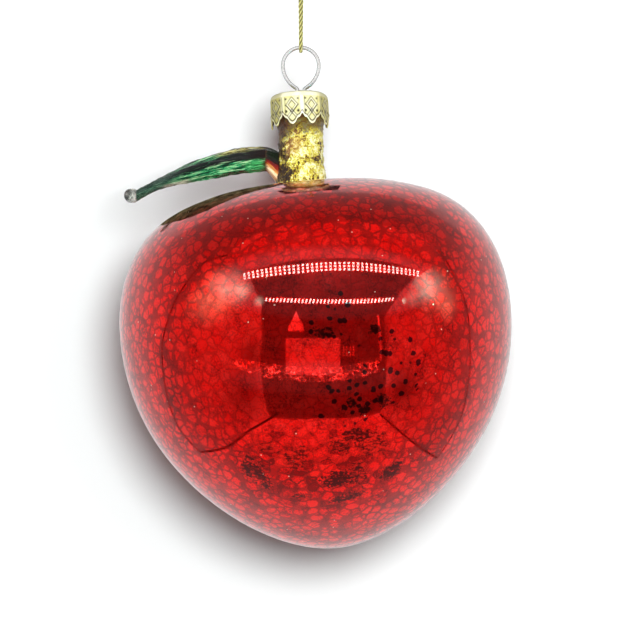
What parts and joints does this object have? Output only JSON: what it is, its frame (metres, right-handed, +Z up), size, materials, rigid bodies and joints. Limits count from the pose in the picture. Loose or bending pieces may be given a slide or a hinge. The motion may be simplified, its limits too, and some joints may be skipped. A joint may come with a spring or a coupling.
{
  "type": "hanging glass apple ornament",
  "caption": "Hollow blown-glass apple with fused stem and leaf, crown cap, spring wire loop and hanging thread.",
  "frame": {"origin": "top of the thread's knot, where the ornament hangs", "axes": "+Z up along the hanging thread, -X towards the leaf, -Y towards the front"},
  "size_m": [0.0806, 0.0806, 0.1216],
  "materials": {
    "gold_thread": "twisted metallic thread, pale gold with dark olive between the strands",
    "steel_wire": "bright drawn spring wire",
    "cap_metal": "pale champagne plating, pressed, bright",
    "red_crackle_glass": "clear gloss glass over a silvered, crackled red lining",
    "gold_foil_glass": "gloss glass over broken gold foil",
    "amber_glass": "pulled glass, amber, red and cream streaks",
    "green_glass": "gloss pulled glass, ribbed along its length",
    "clear_glass": "clear gloss glass"
  },
  "bodies": {
    "knot": {"thread_knot": "gold_thread"},
    "thread": {"hanging_thread": "gold_thread"},
    "hanger": {"wire_hanger": "steel_wire"},
    "cap": {"crown_cap": "cap_metal"},
    "glass": {"glass_apple": "red_crackle_glass", "glass_stem": "gold_foil_glass", "leaf_root": "amber_glass", "leaf_blade": "green_glass", "leaf_tip": "clear_glass"}
  },
  "joints": [
    {"name": "thread_twist", "type": "hinge", "parent": "knot", "child": "thread", "pos_m": [0, 0, 0], "axis": [0, 0, 1], "range_deg": [-180, 180]},
    {"name": "loop_swing", "type": "hinge", "parent": "thread", "child": "hanger", "pos_m": [0, 0, -0.0168], "axis": [1, 0, 0], "range_deg": [-60, 60]},
    {"name": "wire_pull", "type": "slide", "parent": "hanger", "child": "cap", "axis": [0, 0, -1], "range_m": [0, 0.0022]},
    {"name": "cap_pull", "type": "slide", "parent": "cap", "child": "glass", "axis": [0, 0, -1], "range_m": [0, 0.014]}
  ]
}
